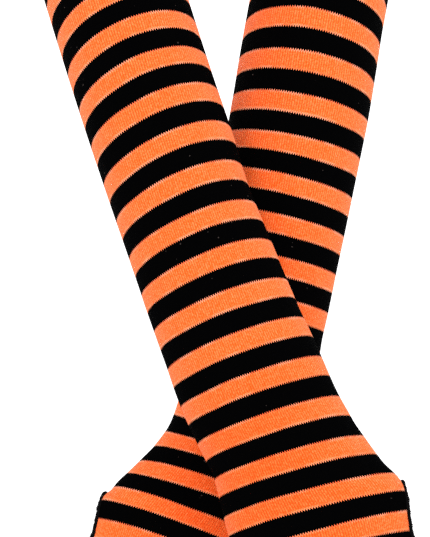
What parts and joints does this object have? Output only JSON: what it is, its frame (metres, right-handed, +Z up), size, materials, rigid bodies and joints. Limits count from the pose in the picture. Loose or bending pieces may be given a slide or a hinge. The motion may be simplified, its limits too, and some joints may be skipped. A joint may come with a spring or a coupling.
{
  "type": "pair of knitted arm warmers",
  "caption": "Pair of striped knitted arm warmers with thumb holes, worn hollow and crossed at the wrists: open seamless tubes with turned welts and overlocked thumb edges.",
  "frame": {"origin": "between the two sleeves where they cross at the wrists, where the wearer's forearms hold them", "axes": "+Z up towards the elbows, +X towards the side of the right hand, -Y towards the side that the crossed sleeves are seen from"},
  "size_m": [0.2113, 0.1646, 0.4224],
  "materials": {
    "striped_knit": "fine matt single jersey in even orange and black stripes",
    "black_knit": "matt black turned knit",
    "overlock_thread": "black overlocking thread, slightly bumpy"
  },
  "bodies": {
    "root": {"right_arm": "striped_knit", "right_hand": "striped_knit", "right_upper_welt": "black_knit", "right_finger_welt": "black_knit", "right_thumb_edge": "overlock_thread", "left_arm": "striped_knit", "left_hand": "striped_knit", "left_upper_welt": "black_knit", "left_finger_welt": "black_knit", "left_thumb_edge": "overlock_thread"}
  },
  "joints": []
}
